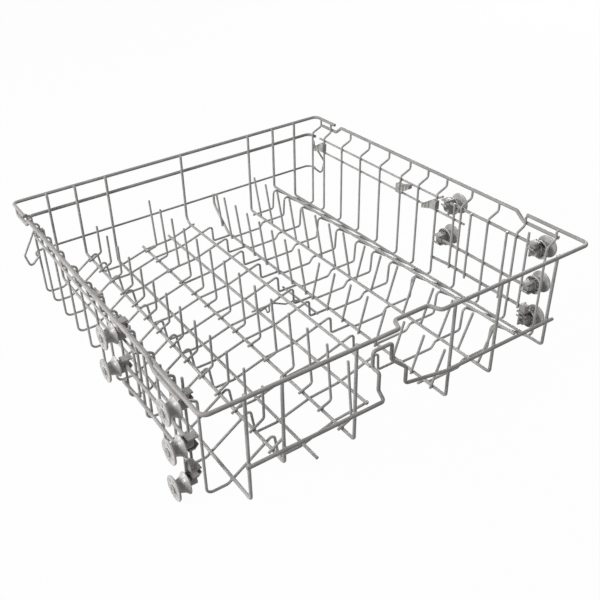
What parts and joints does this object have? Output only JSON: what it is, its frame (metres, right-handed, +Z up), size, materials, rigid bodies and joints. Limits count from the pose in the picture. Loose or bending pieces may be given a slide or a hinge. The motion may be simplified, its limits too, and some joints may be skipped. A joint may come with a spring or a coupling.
{
  "type": "dishwasher basket",
  "caption": "Upper dishwasher basket of coated bent wire with a wavy floor, tine rows, a handle recess and free-turning side rollers.",
  "frame": {"origin": "on the ground under the middle of the basket, where its lowest rollers stand", "axes": "+X to the right seen from the front, +Y from the handle recess to the back, +Z up"},
  "size_m": [0.545, 0.5428, 0.1564],
  "materials": {
    "coated_wire": "satin grey polyamide coating",
    "roller_plastic": "light grey moulded plastic",
    "axle_plastic": "grey moulded plastic",
    "clip_plastic": "light grey moulded plastic"
  },
  "bodies": {
    "basket": {"back_cross_wire_left": "coated_wire", "back_cross_wire_right": "coated_wire", "back_lower_rail": "coated_wire", "back_rim_wire": "coated_wire", "back_upper_rail": "coated_wire", "centre_long_wire": "coated_wire", "cross_wires": "coated_wire", "cup_long_wire": "coated_wire", "cup_tines": "coated_wire", "front_cross_wire_left": "coated_wire", "front_cross_wire_right": "coated_wire", "front_rail": "coated_wire", "front_rim_wire": "coated_wire", "hanger": "coated_wire", "hanger_rail": "coated_wire", "hump_tines": "coated_wire", "left_axles": "axle_plastic", "left_carrier_bars": "coated_wire", "left_hump_long_wire": "coated_wire", "left_lower_carrier": "coated_wire", "left_lower_side_rail": "coated_wire", "left_middle_carrier": "coated_wire", "left_outer_long_wire": "coated_wire", "left_rail_clips": "clip_plastic", "left_rim_wire": "coated_wire", "left_roller_posts": "coated_wire", "left_stop_hook": "coated_wire", "left_upper_carrier": "coated_wire", "left_upper_side_rail": "coated_wire", "ramp_long_wire": "coated_wire", "ramp_tines": "coated_wire", "right_axles": "axle_plastic", "right_carrier_bars": "coated_wire", "right_hump_long_wire": "coated_wire", "right_lower_carrier": "coated_wire", "right_lower_side_rail": "coated_wire", "right_middle_carrier": "coated_wire", "right_outer_long_wire": "coated_wire", "right_rail_clips": "clip_plastic", "right_rim_wire": "coated_wire", "right_roller_posts": "coated_wire", "right_stop_hook": "coated_wire", "right_upper_carrier": "coated_wire", "right_upper_side_rail": "coated_wire", "shelf_long_wire": "coated_wire", "step_long_wire": "coated_wire", "step_tines": "coated_wire", "trough_long_wire": "coated_wire"},
    "left_front_low_roller": {"left_front_low_roller": "roller_plastic"},
    "left_front_middle_roller": {"left_front_middle_roller": "roller_plastic"},
    "left_front_top_roller": {"left_front_top_roller": "roller_plastic"},
    "left_rear_low_roller": {"left_rear_low_roller": "roller_plastic"},
    "left_rear_top_roller": {"left_rear_top_roller": "roller_plastic"},
    "right_front_low_roller": {"right_front_low_roller": "roller_plastic"},
    "right_front_middle_roller": {"right_front_middle_roller": "roller_plastic"},
    "right_front_top_roller": {"right_front_top_roller": "roller_plastic"},
    "right_rear_low_roller": {"right_rear_low_roller": "roller_plastic"},
    "right_rear_top_roller": {"right_rear_top_roller": "roller_plastic"}
  },
  "joints": [
    {"name": "left_front_top_spin", "type": "hinge", "parent": "basket", "child": "left_front_top_roller", "pos_m": [-0.26305, -0.206, 0.1189], "axis": [1, 0, 0], "continuous": true},
    {"name": "left_front_middle_spin", "type": "hinge", "parent": "basket", "child": "left_front_middle_roller", "pos_m": [-0.26305, -0.206, 0.0668], "axis": [1, 0, 0], "continuous": true},
    {"name": "left_front_low_spin", "type": "hinge", "parent": "basket", "child": "left_front_low_roller", "pos_m": [-0.26305, -0.206, 0.0147], "axis": [1, 0, 0], "continuous": true},
    {"name": "left_rear_top_spin", "type": "hinge", "parent": "basket", "child": "left_rear_top_roller", "pos_m": [-0.26305, -0.0547, 0.1189], "axis": [1, 0, 0], "continuous": true},
    {"name": "left_rear_low_spin", "type": "hinge", "parent": "basket", "child": "left_rear_low_roller", "pos_m": [-0.26305, -0.046, 0.0668], "axis": [1, 0, 0], "continuous": true},
    {"name": "right_front_top_spin", "type": "hinge", "parent": "basket", "child": "right_front_top_roller", "pos_m": [0.26305, -0.206, 0.1189], "axis": [1, 0, 0], "continuous": true},
    {"name": "right_front_middle_spin", "type": "hinge", "parent": "basket", "child": "right_front_middle_roller", "pos_m": [0.26305, -0.206, 0.0668], "axis": [1, 0, 0], "continuous": true},
    {"name": "right_front_low_spin", "type": "hinge", "parent": "basket", "child": "right_front_low_roller", "pos_m": [0.26305, -0.206, 0.0147], "axis": [1, 0, 0], "continuous": true},
    {"name": "right_rear_top_spin", "type": "hinge", "parent": "basket", "child": "right_rear_top_roller", "pos_m": [0.26305, -0.0547, 0.1189], "axis": [1, 0, 0], "continuous": true},
    {"name": "right_rear_low_spin", "type": "hinge", "parent": "basket", "child": "right_rear_low_roller", "pos_m": [0.26305, -0.046, 0.0668], "axis": [1, 0, 0], "continuous": true}
  ]
}
